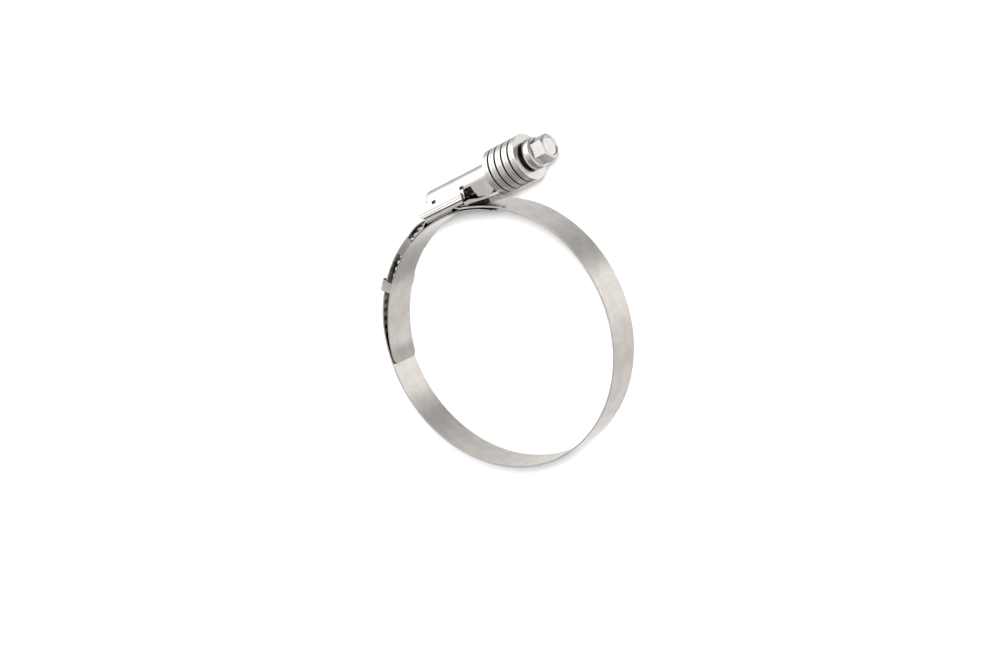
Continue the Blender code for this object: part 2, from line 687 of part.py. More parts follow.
def build():
    clear_scene()
    frame = marker("ring_centre", (0, 0, 0), None)
    band_steel = steel("band_steel", (0.72, 0.70, 0.68), 0.28)
    pressed_steel = steel("pressed_steel", (0.76, 0.75, 0.73), 0.24)
    spring_steel = steel("spring_steel", (0.70, 0.69, 0.67), 0.32)
    screw_steel = steel("screw_steel", (0.78, 0.77, 0.75), 0.22)
    finish("band", band(), band_steel, frame)
    finish("liner", liner(), band_steel, frame)
    finish("saddle", saddle(), pressed_steel, frame)
    finish("housing", housing(), pressed_steel, frame)
    finish("worm_screw", screw(), screw_steel, frame)
    for index in range(WASHER_COUNT):
        finish(f"spring_washer_{index + 1:02d}", washer(index), spring_steel, frame)
    settle_on_base(frame)
    axis = marker("screw_axis", (COLLAR_REAR, SCREW_HEIGHT, 0), frame)
    bpy.context.view_layer.update()
    print("ring centre", tuple(round(value, 6) for value in frame.matrix_world.translation))
    print("screw axis", tuple(round(value, 6) for value in axis.matrix_world.translation))


build()
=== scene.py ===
# %% [markdown]
# A constant-tension band clamp. It holds a hose on a pipe end. One steel strip goes round the ring, and a
# worm screw in a pressed housing draws its slotted end in. The screw pulls through a stack of coned spring
# washers, so that the grip stays even when the hose warms and swells.
#
# The clamp lies on its side on a pale floor. The imported model gives each piece's place. This lesson dresses
# those pieces one by one, with finer edges and with the steel's finish, and paints light and shade onto some
# surfaces.

# %% Load the imported model
import json
import math

import bmesh
import bpy
from mathutils import Matrix, Vector


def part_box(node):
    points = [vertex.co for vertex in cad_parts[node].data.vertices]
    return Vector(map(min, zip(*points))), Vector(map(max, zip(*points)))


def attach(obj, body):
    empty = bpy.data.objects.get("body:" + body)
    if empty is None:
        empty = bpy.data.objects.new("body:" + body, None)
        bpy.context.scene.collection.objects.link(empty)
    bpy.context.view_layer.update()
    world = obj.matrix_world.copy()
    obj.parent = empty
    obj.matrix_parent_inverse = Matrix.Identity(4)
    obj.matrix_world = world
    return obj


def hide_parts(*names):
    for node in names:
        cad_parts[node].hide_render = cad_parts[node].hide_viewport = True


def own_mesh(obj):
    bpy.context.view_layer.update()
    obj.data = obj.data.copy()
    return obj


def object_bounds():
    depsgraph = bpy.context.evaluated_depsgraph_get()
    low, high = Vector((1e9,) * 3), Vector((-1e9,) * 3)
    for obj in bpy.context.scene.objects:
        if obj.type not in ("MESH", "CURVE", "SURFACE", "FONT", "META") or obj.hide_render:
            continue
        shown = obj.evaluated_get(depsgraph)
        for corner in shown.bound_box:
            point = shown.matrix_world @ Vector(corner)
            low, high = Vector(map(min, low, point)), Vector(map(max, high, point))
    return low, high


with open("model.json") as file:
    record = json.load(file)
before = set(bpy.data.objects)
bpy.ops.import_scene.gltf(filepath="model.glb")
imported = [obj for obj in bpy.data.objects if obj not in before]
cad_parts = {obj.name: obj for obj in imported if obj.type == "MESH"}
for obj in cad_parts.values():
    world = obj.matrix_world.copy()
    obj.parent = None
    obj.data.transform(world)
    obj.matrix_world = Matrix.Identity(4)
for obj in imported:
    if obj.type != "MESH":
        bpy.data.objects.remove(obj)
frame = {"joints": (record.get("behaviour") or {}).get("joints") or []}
cad_bounds = [list(corner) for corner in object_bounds()]

# %% [markdown]
# Every size below is in metres. The ring's centre and radius are read from the band's own box, so the new
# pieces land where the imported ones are. Inside this lesson a piece is first modelled round the ring's
# centre, with X along the screw, Y towards the housing and Z along the ring's axis.

# %% Read the driving sizes
MM = 0.001
band_low, band_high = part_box("band")
RING_RADIUS = (band_high.x - band_low.x) / 2
HALF_BAND = (band_high.z - band_low.z) / 2
RING_CENTRE = Vector((
    (band_low.x + band_high.x) / 2,
    band_low.y + RING_RADIUS,
    (band_low.z + band_high.z) / 2,
))
screw_low, screw_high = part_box("worm_screw")
SCREW_HEIGHT = (screw_low.y + screw_high.y) / 2 - RING_CENTRE.y
FLOOR_HEIGHT = cad_bounds[0][2]
print("ring radius", RING_RADIUS, "half band", HALF_BAND, "screw height", SCREW_HEIGHT)

# %% [markdown]
# The camera comes first, because everything else is judged through it. A long lens keeps the ring nearly
# free of perspective. The camera looks down on the lying clamp and is rolled, so that the housing is at the
# top of the picture and the hexagon head points to the right.

# %% Place the camera
LENS = 100
SENSOR_WIDTH = 36
NEAREST = 0.05
FARTHEST = 20
camera_right = Vector((0.7273, -0.4278, -0.5366)).normalized()
camera_back = camera_right.cross(Vector((0.3356, 0.9038, -0.2657))).normalized()
camera_up = camera_back.cross(camera_right)
camera_target = RING_CENTRE + Vector((-2.15, 0.47, 1.60)) * MM
camera_distance = 1153.0 * MM

camera_data = bpy.data.cameras.new("camera")
camera_data.lens = LENS
camera_data.sensor_width = SENSOR_WIDTH
camera_data.clip_start = NEAREST
camera_data.clip_end = FARTHEST
camera = bpy.data.objects.new("camera", camera_data)
bpy.context.scene.collection.objects.link(camera)
turn = Matrix((camera_right, camera_up, camera_back)).transposed().to_4x4()
camera.matrix_world = Matrix.Translation(camera_target + camera_back * camera_distance) @ turn
bpy.context.scene.camera = camera
print("camera at", [round(value, 3) for value in camera.location])

# %% [markdown]
# Bright steel has almost no colour of its own: it shows the room. So the room is painted with care, as three
# belts of soft panels, one above the other, that melt into each other. The upper belt holds one broad white
# panel on the left for the housing. The ring's walls stand upright on the floor and mirror the lowest belt,
# because the floor lets mirrored rays through.

# %% Plan the panels
# Each panel has a compass direction in degrees from +Y towards +X, and a brightness.
LOW_PANELS = (
    (-180, 0.70),
    (-149, 0.72),
    (-130, 0.86),
    (-102, 0.98),
    (-86, 0.86),
    (-62, 0.78),
    (-40, 0.70),
    (-10, 0.65),
    (15, 0.62),
    (30, 0.53),
    (45, 0.42),
    (55, 0.42),
    (66, 0.54),
    (82, 0.96),
    (106, 0.92),
    (134, 0.72),
    (152, 0.65),
)
LEVEL_PANELS = (
    (-180, 0.34),
    (-152, 0.20),
    (-128, 0.20),
    (-96, 0.48),
    (-62, 0.52),
    (-30, 0.52),
    (5, 0.40),
    (26, 0.18),
    (50, 0.18),
    (70, 0.55),
    (110, 0.75),
    (150, 0.50),
)
HIGH_PANELS = (
    (-180, 0.36),
    (-156, 0.22),
    (-132, 0.24),
    (-112, 0.46),
    (-92, 0.54),
    (-74, 0.66),
    (-64, 0.78),
    (-52, 1.40),
    (-14, 1.40),
    (12, 0.60),
    (30, 0.20),
    (52, 0.20),
    (80, 0.75),
    (130, 0.80),
)
# The elevations in degrees between which one belt melts into the next.
LOW_TO_LEVEL = (-50, -40)
LEVEL_TO_HIGH = (-24, 10)
print("panels", len(LOW_PANELS), len(LEVEL_PANELS), len(HIGH_PANELS))

# %% [markdown]
# A belt is a colour ramp over the compass direction of a ray of light. Smoothed ramps and smoothed steps
# between the belts leave no hard edge that could show up on the steel.

# %% Paint the room


def add_node(tree, kind, **settings):
    node = tree.nodes.new(kind)
    for name, value in settings.items():
        setattr(node, name, value)
    return node


def map_range(tree, value, source, result=(0, 1), smooth=True):
    """The output of a node that maps a value from the source range to the result range."""
    node = add_node(tree, "ShaderNodeMapRange", interpolation_type="SMOOTHSTEP" if smooth else "LINEAR")
    for socket, number in zip(("From Min", "From Max", "To Min", "To Max"), (*source, *result)):
        node.inputs[socket].default_value = number
    tree.links.new(value, node.inputs["Value"])
    return node.outputs["Result"]


def belt(tree, compass, panels):
    """A colour ramp over the compass direction of a ray, which closes on itself at the back."""
    ramp = add_node(tree, "ShaderNodeValToRGB")
    ramp.color_ramp.interpolation = "EASE"
    stops = ramp.color_ramp.elements
    stops.remove(stops[0])
    for index, (angle, brightness) in enumerate((*panels, (180, panels[0][1]))):
        position = (angle + 180) / 360
        stop = stops[0] if index == 0 else stops.new(position)
        stop.position = position
        stop.color = (brightness, brightness, brightness, 1)
    tree.links.new(compass, ramp.inputs["Fac"])
    return ramp.outputs["Color"]


def melt(tree, height, elevations, lower, upper):
    """Mixes two belts between a pair of elevations."""
    blend = add_node(tree, "ShaderNodeMix", data_type="RGBA")
    limits = [math.sin(math.radians(angle)) for angle in elevations]
    tree.links.new(map_range(tree, height, limits), blend.inputs["Factor"])
    tree.links.new(lower, blend.inputs["A"])
    tree.links.new(upper, blend.inputs["B"])
    return blend.outputs["Result"]


def paint_room():
    world = bpy.data.worlds.new("light_tent")
    world.use_nodes = True
    tree = world.node_tree
    direction = add_node(tree, "ShaderNodeTexCoord")
    parts = add_node(tree, "ShaderNodeSeparateXYZ")
    tree.links.new(direction.outputs["Generated"], parts.inputs[0])
    angle = add_node(tree, "ShaderNodeMath", operation="ARCTAN2")
    tree.links.new(parts.outputs["X"], angle.inputs[0])
    tree.links.new(parts.outputs["Y"], angle.inputs[1])
    compass = map_range(tree, angle.outputs[0], (-math.pi, math.pi), smooth=False)
    height = parts.outputs["Z"]
    low, level, high = [belt(tree, compass, panels) for panels in (LOW_PANELS, LEVEL_PANELS, HIGH_PANELS)]
    room = melt(tree, height, LEVEL_TO_HIGH, melt(tree, height, LOW_TO_LEVEL, low, level), high)
    tree.links.new(room, tree.nodes["Background"].inputs["Color"])
    bpy.context.scene.world = world


paint_room()
bpy.context.scene.view_settings.view_transform = "Standard"

# %% [markdown]
# The floor has to come out white, with only a soft shadow where the clamp stands. One round lamp does that.
# It hangs on the camera's side and a little towards the housing, so that most shadows fall behind the steel
# and few of them show. The lamp stays out of the mirrored rays, so it makes no hot spot.

# %% Hang the lamp
LAMP_SIZE = 0.7
LAMP_DISTANCE = 1.7
LAMP_POWER = 44.0
LAMP_DIRECTION = Vector((0.64, 0.16, 0.80)).normalized()


def hang_lamp():
    data = bpy.data.lights.new("studio_lamp", "AREA")
    data.shape = "DISK"
    data.size = LAMP_SIZE
    data.energy = LAMP_POWER
    lamp = bpy.data.objects.new("studio_lamp", data)
    bpy.context.scene.collection.objects.link(lamp)
    aim = LAMP_DIRECTION.to_track_quat("Z", "Y").to_matrix().to_4x4()
    lamp.matrix_world = Matrix.Translation(LAMP_DIRECTION * LAMP_DISTANCE) @ aim
    lamp.visible_glossy = False
    print("lamp at", [round(value, 3) for value in lamp.location])


hang_lamp()

# %% [markdown]
# The floor is one wide matt sheet. It takes the shadow, but mirrored rays pass through it, so that the steel
# shows the room's lowest belt and not the floor.

# %% Lay the floor
FLOOR_SIZE = 6.0
FLOOR_GREY = 0.93
FLOOR_ROUGHNESS = 0.9


def lay_floor():
    bm = bmesh.new()
    bmesh.ops.create_grid(bm, x_segments=1, y_segments=1, size=FLOOR_SIZE / 2)
    bmesh.ops.translate(bm, verts=bm.verts, vec=(0, 0, FLOOR_HEIGHT))
    mesh = bpy.data.meshes.new("floor")
    bm.to_mesh(mesh)
    bm.free()
    floor = bpy.data.objects.new("floor", mesh)
    bpy.context.scene.collection.objects.link(floor)
    paint = bpy.data.materials.new("pale_floor")
    paint.use_nodes = True
    shader = paint.node_tree.nodes["Principled BSDF"]
    shader.inputs["Base Color"].default_value = (FLOOR_GREY, FLOOR_GREY, FLOOR_GREY, 1)
    shader.inputs["Roughness"].default_value = FLOOR_ROUGHNESS
    shader.inputs["Specular IOR Level"].default_value = 0.0
    mesh.materials.append(paint)
    floor.visible_glossy = False
    print("floor", FLOOR_SIZE, "m wide at height", FLOOR_HEIGHT)


lay_floor()

# %% [markdown]
# One recipe makes all the steels. Rolled strip has fine scratches along its length, so its pattern reads the
# strip's own flat map. Pressed and turned pieces have a tumbled surface with small soft dents, and read
# Object coordinates. The pattern only moves the roughness and the surface a little, as on real bright steel.
# Where other surfaces are near, the colour is darkened as painted shade.

# %% Write the recipe for steel
STRIP_MAP = "strip"
SOFT_GRAIN = 160
SCRATCH_DEPTH = 0.02 * MM
DENT_DEPTH = 0.2 * MM
FINE_SPREAD = (0.3, 0.7)
SOFT_SPREAD = (0.35, 0.65)
SHELTERED = 0.12


def steel(
    name, colour, roughness, grain, scratches, reach, darkest=0.06, shade_end=0.5, dents=0.0, along=None, painted_tones=()
):
    """Bright stainless steel. grain is the pattern's scale and along stretches it. Painted shade darkens the
    colour where other surfaces lie within reach: it keeps the darkest share of the colour in full shelter,
    and fades out where the surface is open by the given share. Pairs of (place, share) along a strip, given
    last, paint lighter and darker stretches as painted light and shade."""
    material = bpy.data.materials.new(name)
    material.use_nodes = True
    tree = material.node_tree
    shader = tree.nodes["Principled BSDF"]
    shader.inputs["Metallic"].default_value = 1.0
    if along is None:
        place = add_node(tree, "ShaderNodeTexCoord").outputs["Object"]
    else:
        place = add_node(tree, "ShaderNodeUVMap", uv_map=STRIP_MAP).outputs["UV"]
    mapping = add_node(tree, "ShaderNodeMapping")
    mapping.inputs["Scale"].default_value = along or (1, 1, 1)
    tree.links.new(place, mapping.inputs["Vector"])
    fine = add_node(tree, "ShaderNodeTexNoise")
    fine.inputs["Scale"].default_value = grain
    fine.inputs["Detail"].default_value = 5
    fine.inputs["Roughness"].default_value = 0.65
    tree.links.new(mapping.outputs[0], fine.inputs["Vector"])
    soft = add_node(tree, "ShaderNodeTexNoise")
    soft.inputs["Scale"].default_value = SOFT_GRAIN
    soft.inputs["Detail"].default_value = 2
    tree.links.new(place, soft.inputs["Vector"])
    pattern = fine.outputs["Fac"]
    rough = map_range(tree, pattern, FINE_SPREAD, (roughness * 0.8, roughness * 1.25), smooth=False)
    tree.links.new(rough, shader.inputs["Roughness"])
    shelter = add_node(tree, "ShaderNodeAmbientOcclusion", samples=8)
    shelter.inputs["Distance"].default_value = reach
    shade = map_range(tree, pattern, FINE_SPREAD, (0.95, 1.04), smooth=False)
    clouds = map_range(tree, soft.outputs["Fac"], SOFT_SPREAD, (0.93, 1.03))
    # Painted shade: the colour is darkened where other surfaces are near.
    painted_shade = map_range(tree, shelter.outputs["AO"], (SHELTERED, shade_end), (darkest, 1))
    factors = [clouds, painted_shade]
    if painted_tones:
        parts = add_node(tree, "ShaderNodeSeparateXYZ")
        tree.links.new(place, parts.inputs[0])
    # Painted light and shade: stretches of a strip are made lighter or darker.
    for (start, before), (end, after) in zip(painted_tones, painted_tones[1:]):
        factors.append(map_range(tree, parts.outputs["X"], (start, end), (1, after / before)))
    for factor in factors:
        product = add_node(tree, "ShaderNodeMath", operation="MULTIPLY")
        tree.links.new(shade, product.inputs[0])
        tree.links.new(factor, product.inputs[1])
        shade = product.outputs[0]
    colouring = add_node(tree, "ShaderNodeVectorMath", operation="SCALE")
    colouring.inputs[0].default_value = colour
    tree.links.new(shade, colouring.inputs["Scale"])
    tree.links.new(colouring.outputs[0], shader.inputs["Base Color"])
    bump = add_node(tree, "ShaderNodeBump")
    bump.inputs["Strength"].default_value = scratches
    bump.inputs["Distance"].default_value = SCRATCH_DEPTH
    tree.links.new(pattern, bump.inputs["Height"])
    if dents:
        low = add_node(tree, "ShaderNodeBump")
        low.inputs["Strength"].default_value = dents
        low.inputs["Distance"].default_value = DENT_DEPTH
        tree.links.new(soft.outputs["Fac"], low.inputs["Height"])
        tree.links.new(low.outputs["Normal"], bump.inputs["Normal"])
    tree.links.new(bump.outputs["Normal"], shader.inputs["Normal"])
    return material


# %% [markdown]
# Rolled strip, pressed sheet, tumbled washers and the turned screw differ in grain, tone and painted shade.
# Two
# darker steels are painted shade: between the layers of strip, in the notches and bends, and on the screw
# behind the collar. The liner is painted darker, with lighter and darker stretches as painted light and
# shade.

# %% Mix the steels
ALONG_STRIP = (0.06, 1, 1)
# Painted light and shade along the liner, as (place, brightness share) pairs.
LINER_PAINTED_TONES = (
    (-77.5 * MM, 1.0),
    (-71.5 * MM, 1.66),
    (-50 * MM, 1.66),
    (-38 * MM, 0.94),
    (-29 * MM, 0.94),
    (-8 * MM, 1.4),
)
strip_steel = steel("strip_steel", (0.87, 0.82, 0.77), 0.2, 900, 0.15, 6 * MM, along=ALONG_STRIP)
pressed_steel = steel("pressed_steel", (0.88, 0.85, 0.815), 0.18, 1500, 0.08, 1.5 * MM, dents=0.06)
washer_steel = steel(
    "washer_steel", (0.97, 0.94, 0.905), 0.22, 1300, 0.1, 2.4 * MM, darkest=0.1, shade_end=0.62, dents=0.03
)
screw_steel = steel(
    "screw_steel", (0.95, 0.925, 0.89), 0.16, 1500, 0.08, 3 * MM, darkest=0.1, shade_end=0.72, dents=0.05
)
# Painted shade: a near-black steel for the gaps between strip layers, the tail under the lip, the notches and
# the saddle's bends, and a darker steel for the screw behind the collar.
painted_shade_steel = steel("painted_shade_steel", (0.15, 0.135, 0.12), 0.35, 900, 0.3, 6 * MM, darkest=0.2)
painted_shade_screw_steel = steel("painted_shade_screw_steel", (0.50, 0.46, 0.42), 0.3, 900, 0.4, 4 * MM, darkest=0.2)
# Painted shade: the liner's colour is darker than the band's.
liner_steel = steel(
    "liner_steel", (0.53, 0.50, 0.465), 0.2, 900, 0.15, 6 * MM, along=ALONG_STRIP, painted_tones=LINER_PAINTED_TONES
)
print("finishes", [material.name for material in bpy.data.materials])

# %% [markdown]
# Three small helpers work on numbers: points round an arc, a smooth step, and a blend of two values.

# %% Number helpers


def arc(centre, radius, start, end, steps):
    """Points round an arc, angles in degrees from the first coordinate to the second."""
    points = []
    for i in range(steps + 1):
        angle = math.radians(start + (end - start) * i / steps)
        points.append((centre[0] + radius * math.cos(angle), centre[1] + radius * math.sin(angle)))
    return points


def ease(value, start, end):
    """0 before start, 1 after end and a smooth step between them."""
    share = min(max((value - start) / (end - start), 0.0), 1.0)
    return share * share * (3 - 2 * share)


def mix(first, second, share):
    return first + (second - first) * share


# %% [markdown]
# The other helpers make shapes: a straight extrusion, a shape turned from half its outline, one Boolean after
# another, and softened edges. Doubles are welded after each, so that the next step finds a clean mesh.

# %% Shape helpers
WELD = 0.002 * MM
STILL_FLAT = 0.5


def drawn(points, step):
    """One flat face through the points, drawn out by a step."""
    bm = bmesh.new()
    face = bm.faces.new([bm.verts.new(point) for point in points])
    made = bmesh.ops.extrude_face_region(bm, geom=[face], use_keep_orig=True)
    moved = [item for item in made["geom"] if isinstance(item, bmesh.types.BMVert)]
    bmesh.ops.translate(bm, verts=moved, vec=step)
    bmesh.ops.recalc_face_normals(bm, faces=bm.faces)
    return bm


def turned(profile, steps):
    """A closed (place along the screw, radius) outline turned round the screw's axis."""
    bm = bmesh.new()
    corners = [bm.verts.new((x, SCREW_HEIGHT + radius, 0)) for x, radius in profile]
    solid = profile[0][1] == 0 and profile[-1][1] == 0
    pairs = list(zip(corners, corners[1:] + corners[:1]))
    edges = [bm.edges.new(pair) for pair in (pairs[:-1] if solid else pairs)]
    bmesh.ops.spin(
        bm,
        geom=corners + edges,
        cent=(0, SCREW_HEIGHT, 0),
        axis=(1, 0, 0),
        angle=math.tau,
        steps=steps,
        use_merge=True,
    )
    bmesh.ops.remove_doubles(bm, verts=bm.verts, dist=WELD / 2)
    bmesh.ops.recalc_face_normals(bm, faces=bm.faces)
    return bm


def loose_object(name, bm):
    mesh = bpy.data.meshes.new(name)
    bm.to_mesh(mesh)
    bm.free()
    obj = bpy.data.objects.new(name, mesh)
    bpy.context.scene.collection.objects.link(obj)
    return obj


def combine(base, steps):
    """The bmesh of base after each (operation, bmesh) of steps."""
    target = loose_object("target", base)
    tools = []
    for operation, tool in steps:
        tools.append(loose_object("tool", tool))
        modifier = target.modifiers.new(operation, "BOOLEAN")
        modifier.operation = operation
        modifier.object = tools[-1]
    graph = bpy.context.evaluated_depsgraph_get()
    mesh = bpy.data.meshes.new_from_object(target.evaluated_get(graph))
    result = bmesh.new()
    result.from_mesh(mesh)
    for obj in [target, *tools]:
        bpy.data.objects.remove(obj)
    bmesh.ops.remove_doubles(result, verts=result.verts, dist=WELD)
    bmesh.ops.dissolve_degenerate(result, edges=result.edges, dist=WELD)
    return result


def soften(bm, width, sharper_than=50, segments=2):
    """Bevels the edges that are sharper than an angle in degrees."""
    bmesh.ops.dissolve_limit(bm, angle_limit=math.radians(STILL_FLAT), verts=bm.verts, edges=bm.edges)
    limit = math.radians(sharper_than)
    sharp = [e for e in bm.edges if e.is_manifold and e.calc_face_angle() > limit]
    bmesh.ops.bevel(
        bm,
        geom=sharp,
        offset=width,
        affect="EDGES",
        segments=segments,
        profile=0.5,
        material=-1,
        clamp_overlap=True,
    )
    return bm


# %% [markdown]
# A finished mesh is moved to its place in the frame, gets its materials and even shading, and rides on its
# body in place of the plain solid.

# %% Hand a piece over


def hand_over(name, bm, body, slot, *materials, smooth_angle=35):
    """Moves a finished mesh to its place in the frame and lets it ride on its body."""
    bmesh.ops.translate(bm, verts=bm.verts, vec=RING_CENTRE)
    obj = loose_object(name, bm)
    for material in materials:
        obj.data.materials.append(material)
    obj.data.shade_smooth()
    obj.data.set_sharp_from_angle(angle=math.radians(smooth_angle))
    even = obj.modifiers.new("even_shading", "WEIGHTED_NORMAL")
    even.keep_sharp = True
    graph = bpy.context.evaluated_depsgraph_get()
    shaded = bpy.data.meshes.new_from_object(obj.evaluated_get(graph))
    obj.modifiers.clear()
    obj.data = shaded
    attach(obj, body)
    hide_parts(name.replace("_look", ""))
    print(name, len(obj.data.polygons), "faces")
    return obj


# %% [markdown]
# The coned washers are the heart of a constant-tension clamp. Ten of them stand on the shank in five pairs,
# rim to rim, so the stack looks like a bellows. Each is one small outline, spun round the screw. When the
# screw is tightened the stack goes flat. The front washer rides on a body of its own, and the nine behind it
# ride on the clamp, each with a mesh of its own.

# %% Turn the spring washers
WASHER_COUNT = 10
WASHER_CONE = 0.38 * MM
WASHER_EDGE = 0.13 * MM
WASHER_BORE = 5.1 * MM
BORE_EDGE = 0.12 * MM
WASHER_STEPS = 128
washer_low, washer_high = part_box("spring_washer_01")
front_low, front_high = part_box("spring_washer_10")
WASHER_RADIUS = (washer_high.y - washer_low.y) / 2
WASHER_HEIGHT = washer_high.x - washer_low.x
WASHER_PITCH = (front_low.x - washer_low.x) / (WASHER_COUNT - 1)
TRAVEL = max(joint["range_m"][1] for joint in frame["joints"] if joint["name"] == "stack_travel")
STACK_REAR = washer_low.x - RING_CENTRE.x


def washer_outline(opens_forward):
    thickness = WASHER_HEIGHT - WASHER_CONE
    slope = WASHER_CONE / (WASHER_RADIUS - WASHER_BORE)
    edge = WASHER_EDGE
    inner = BORE_EDGE
    outline = [(inner * 0.9, WASHER_BORE), (0, WASHER_BORE + inner)]
    outline += [((WASHER_RADIUS - edge - WASHER_BORE) * slope, WASHER_RADIUS - edge)]
    outline += arc((WASHER_CONE + edge, WASHER_RADIUS - edge), edge, 170, 90, 4)
    outline += arc((WASHER_HEIGHT - edge, WASHER_RADIUS - edge), edge, 90, 5, 4)
    outline += [(thickness + inner * slope, WASHER_BORE + inner), (thickness - inner, WASHER_BORE)]
    if opens_forward:
        return outline
    return [(WASHER_HEIGHT - x, radius) for x, radius in reversed(outline)]


def spring_washer(index):
    rear = STACK_REAR + index * WASHER_PITCH
    outline = [(rear + x, radius) for x, radius in washer_outline(index % 2 == 0)]
    name = f"spring_washer_{index + 1:02d}"
    front = index == WASHER_COUNT - 1
    body = "front_washer" if front else "clamp"
    obj = hand_over(name + "_look", turned(outline, WASHER_STEPS), body, "spring_steel", washer_steel)
    if not front:
        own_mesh(obj)


for index in range(WASHER_COUNT):
    spring_washer(index)

# %% [markdown]
# Rolled strip: the band and the liner are modelled flat, as they leave the press. Slots are cut in the flat
# strip, its edges are rounded, and then it is cut across at small even angles and bent round the ring. A
# function gives the radius at each angle, because the strip steps down from layer to layer near the screw.
#
# First come the heights of the layers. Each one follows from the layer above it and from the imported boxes.

# %% Stack the layers under the screw
SLOT_PITCH = 3.175 * MM
BAND_THICKNESS = 0.64 * MM
LAYER_GAP = 0.15 * MM
SADDLE_THICKNESS = 0.8 * MM
SLOTTED_TOP = RING_RADIUS + 0.05 * MM
FIXED_TOP = SLOTTED_TOP - BAND_THICKNESS - LAYER_GAP
SADDLE_TOP = FIXED_TOP - BAND_THICKNESS - LAYER_GAP
SADDLE_BOTTOM = SADDLE_TOP - SADDLE_THICKNESS
SADDLE_PLATE_FRONT = 7.4 * MM
RUNNING_GAP = 0.3 * MM
JOIN = 0.2 * MM
MARGIN = 1.0 * MM
LIP_SLOPE = math.radians(8.0)
LIP_THICKNESS = 0.9 * MM
WINDOW_FRONT = 19.8 * MM
saddle_low, saddle_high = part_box("saddle")
housing_low, housing_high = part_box("housing")
SADDLE_REAR = saddle_low.x - RING_CENTRE.x
SADDLE_FRONT = saddle_high.x - RING_CENTRE.x
WALL_OUTSIDE = (saddle_high.z - saddle_low.z) / 2
WALL_INSIDE = WALL_OUTSIDE - SADDLE_THICKNESS
HOUSING_REAR = housing_low.x - RING_CENTRE.x
HOUSING_FRONT = housing_high.x - RING_CENTRE.x
BARREL_RADIUS = housing_high.y - RING_CENTRE.y - SCREW_HEIGHT
LIP_REAR = SADDLE_FRONT + RUNNING_GAP
LIP_REAR_TOP = SCREW_HEIGHT - BARREL_RADIUS + JOIN + (WINDOW_FRONT - LIP_REAR) * math.tan(LIP_SLOPE)
LIP_REAR_BOTTOM = LIP_REAR_TOP - LIP_THICKNESS
TAIL_RADIUS = math.hypot(LIP_REAR, LIP_REAR_BOTTOM - RUNNING_GAP)
TUCKED_RADIUS = TAIL_RADIUS - BAND_THICKNESS - LAYER_GAP
LINER_OUTER = SADDLE_BOTTOM - LAYER_GAP
TONGUE_RADIUS = LINER_OUTER + LAYER_GAP + BAND_THICKNESS
print("layers from the top", SLOTTED_TOP, FIXED_TOP, SADDLE_TOP, LINER_OUTER)

# %% [markdown]
# A cut across the strip that just touches the end of a slot can lose a sliver of a face, so open gaps are
# filled before the strip is bent.

# %% Strip helpers
BEND_LENGTH = 0.75 * MM
ON_THE_CUT = 1e-7


def along(angle):
    """Length along a flat strip for an angle round the ring, in degrees."""
    return math.radians(angle) * RING_RADIUS


def flat_plate(outline, low, high):
    """A plate whose outline lies in XZ and whose thickness runs along Y."""
    return drawn([(x, low, z) for x, z in outline], (0, high - low, 0))


def roll(bm, start, end, radius_at):
    """Cuts a flat strip across at even places, maps it, and bends it round the ring."""
    steps = round((end - start) / BEND_LENGTH)
    for i in range(1, steps):
        place = mix(start, end, i / steps)
        geometry = bm.verts[:] + bm.edges[:] + bm.faces[:]
        cut = {"plane_co": (place, 0, 0), "plane_no": (1, 0, 0)}
        bmesh.ops.bisect_plane(bm, geom=geometry, dist=ON_THE_CUT, **cut)
    open_edges = [edge for edge in bm.edges if edge.is_boundary]
    filled = bmesh.ops.holes_fill(bm, edges=open_edges, sides=0)["faces"]
    bmesh.ops.recalc_face_normals(bm, faces=bm.faces)
    left_open = sum(edge.is_boundary for edge in bm.edges)
    print("strip cut across", steps - 1, "times,", len(filled), "gaps closed,", left_open, "open edges")
    flat_map = bm.loops.layers.uv.new(STRIP_MAP)
    for face in bm.faces:
        for loop in face.loops:
            loop[flat_map].uv = (loop.vert.co.x, loop.vert.co.z + loop.vert.co.y)
    for vert in bm.verts:
        angle = vert.co.x / RING_RADIUS
        radius = radius_at(math.degrees(angle)) + vert.co.y
        vert.co = Vector((radius * math.sin(angle), radius * math.cos(angle), vert.co.z))
    return bm


# %% [markdown]
# The band starts as a tongue over the liner, lies flat under the screw, goes once round the ring and comes
# back flat on top of itself, one layer further out. One function tells how far out it lies at each angle.

# %% Lay out the band's path
BULGE = 0.5 * MM
JOGGLE_LENGTH = 3.95 * MM
JOGGLE_CLEARANCE = 0.7 * MM
JOGGLE_LAG = 0.4 * MM
# Degrees from the housing, between which the strip passes smoothly from one radius to the next.
LEAVES_TUCK = (16, 52)
MEETS_RING = (60, 84.5)
LEAVES_SADDLE = (5, 20)
STEEPEST_FLAT = 40


def flat_radius(height, angle):
    """Radius at which a straight line at this height crosses an angle from the housing."""
    return height / math.cos(math.radians(min(abs(angle), STEEPEST_FLAT)))


def joggle(reach, edge):
    """Share of the step down to the next layer, for a place past an edge of the saddle's plate."""
    start = edge + JOGGLE_CLEARANCE
    return ease(reach, start, start + JOGGLE_LENGTH)


def band_radius(angle):
    """Outer radius of the band, at degrees clockwise from the housing, seen from +Z."""
    if angle < 180:
        flat = flat_radius(FIXED_TOP, angle)
        if angle < 0:
            return mix(flat, TONGUE_RADIUS, joggle(-along(angle), -SADDLE_REAR))
        tucked = mix(flat, TUCKED_RADIUS, joggle(along(angle), SADDLE_PLATE_FRONT))
        return mix(tucked, RING_RADIUS, ease(angle, *LEAVES_TUCK))
    before = 360 - angle
    flat = flat_radius(SLOTTED_TOP, before)
    if before < 0:
        return mix(flat, TAIL_RADIUS, joggle(-along(before), SADDLE_PLATE_FRONT + JOGGLE_LAG))
    over_liner = mix(RING_RADIUS + BULGE, RING_RADIUS, ease(before, *MEETS_RING))
    return mix(flat, over_liner, ease(before, *LEAVES_SADDLE))


print("band radius a quarter round", band_radius(90))

